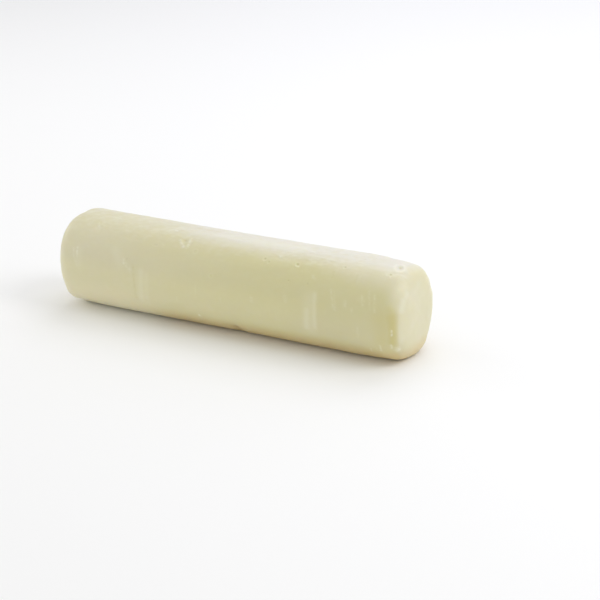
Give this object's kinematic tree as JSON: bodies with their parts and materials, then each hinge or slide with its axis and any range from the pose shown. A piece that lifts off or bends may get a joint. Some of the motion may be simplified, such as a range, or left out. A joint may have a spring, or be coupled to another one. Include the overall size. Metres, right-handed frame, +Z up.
{
  "type": "provolone cheese log",
  "caption": "Whole uncut provolone cheese: a long pale ivory log with a soft round-square section and rounded ends, lying on its flattened underside.",
  "frame": {"origin": "middle of the flattened underside, on the surface the log lies on", "axes": "+X along the log towards the end that is rounded further back, +Z up, +Y towards the back"},
  "size_m": [0.457, 0.1106, 0.1092],
  "materials": {
    "cheese": "satin, slightly greasy pale ivory-yellow cheese skin"
  },
  "bodies": {
    "root": {"cheese_log": "cheese"}
  },
  "joints": []
}
